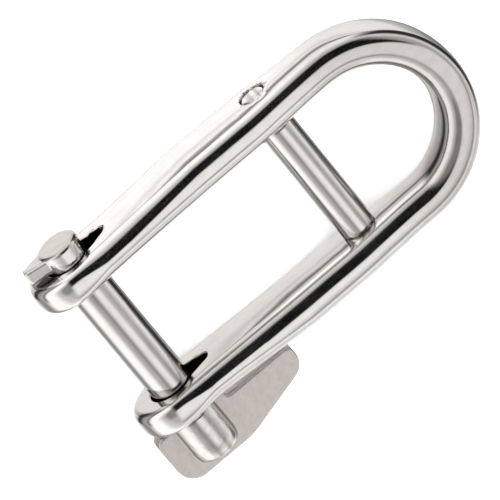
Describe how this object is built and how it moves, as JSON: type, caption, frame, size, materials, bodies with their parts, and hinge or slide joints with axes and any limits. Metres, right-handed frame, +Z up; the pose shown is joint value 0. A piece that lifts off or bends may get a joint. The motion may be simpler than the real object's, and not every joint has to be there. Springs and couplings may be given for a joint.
{
  "type": "key pin shackle",
  "caption": "Long polished steel shackle with a round crossbar and a key pin that turns to lock or release, with a flat thumb plate beside the leg.",
  "frame": {"origin": "under the middle of the part's box, on the surface that it lies on", "axes": "+X along the pin towards its thumb plate, +Y along the legs towards the crown, +Z up out of the shackle's plane"},
  "size_m": [0.0396, 0.063, 0.0106],
  "materials": {
    "polished_steel": "mirror-polished stainless steel",
    "drawn_steel": "drawn stainless bar, lightly polished along its length",
    "cast_steel": "stainless forging, polished on the shank and grainy on the thumb plate"
  },
  "bodies": {
    "bow": {"bow": "polished_steel", "crossbar": "drawn_steel"},
    "key_pin": {"key_pin": "cast_steel"}
  },
  "joints": [
    {"name": "pin_turn", "type": "hinge", "parent": "bow", "child": "key_pin", "pos_m": [-0.00308, -0.02473, 0.0053], "axis": [1, 0, 0], "continuous": true}
  ]
}
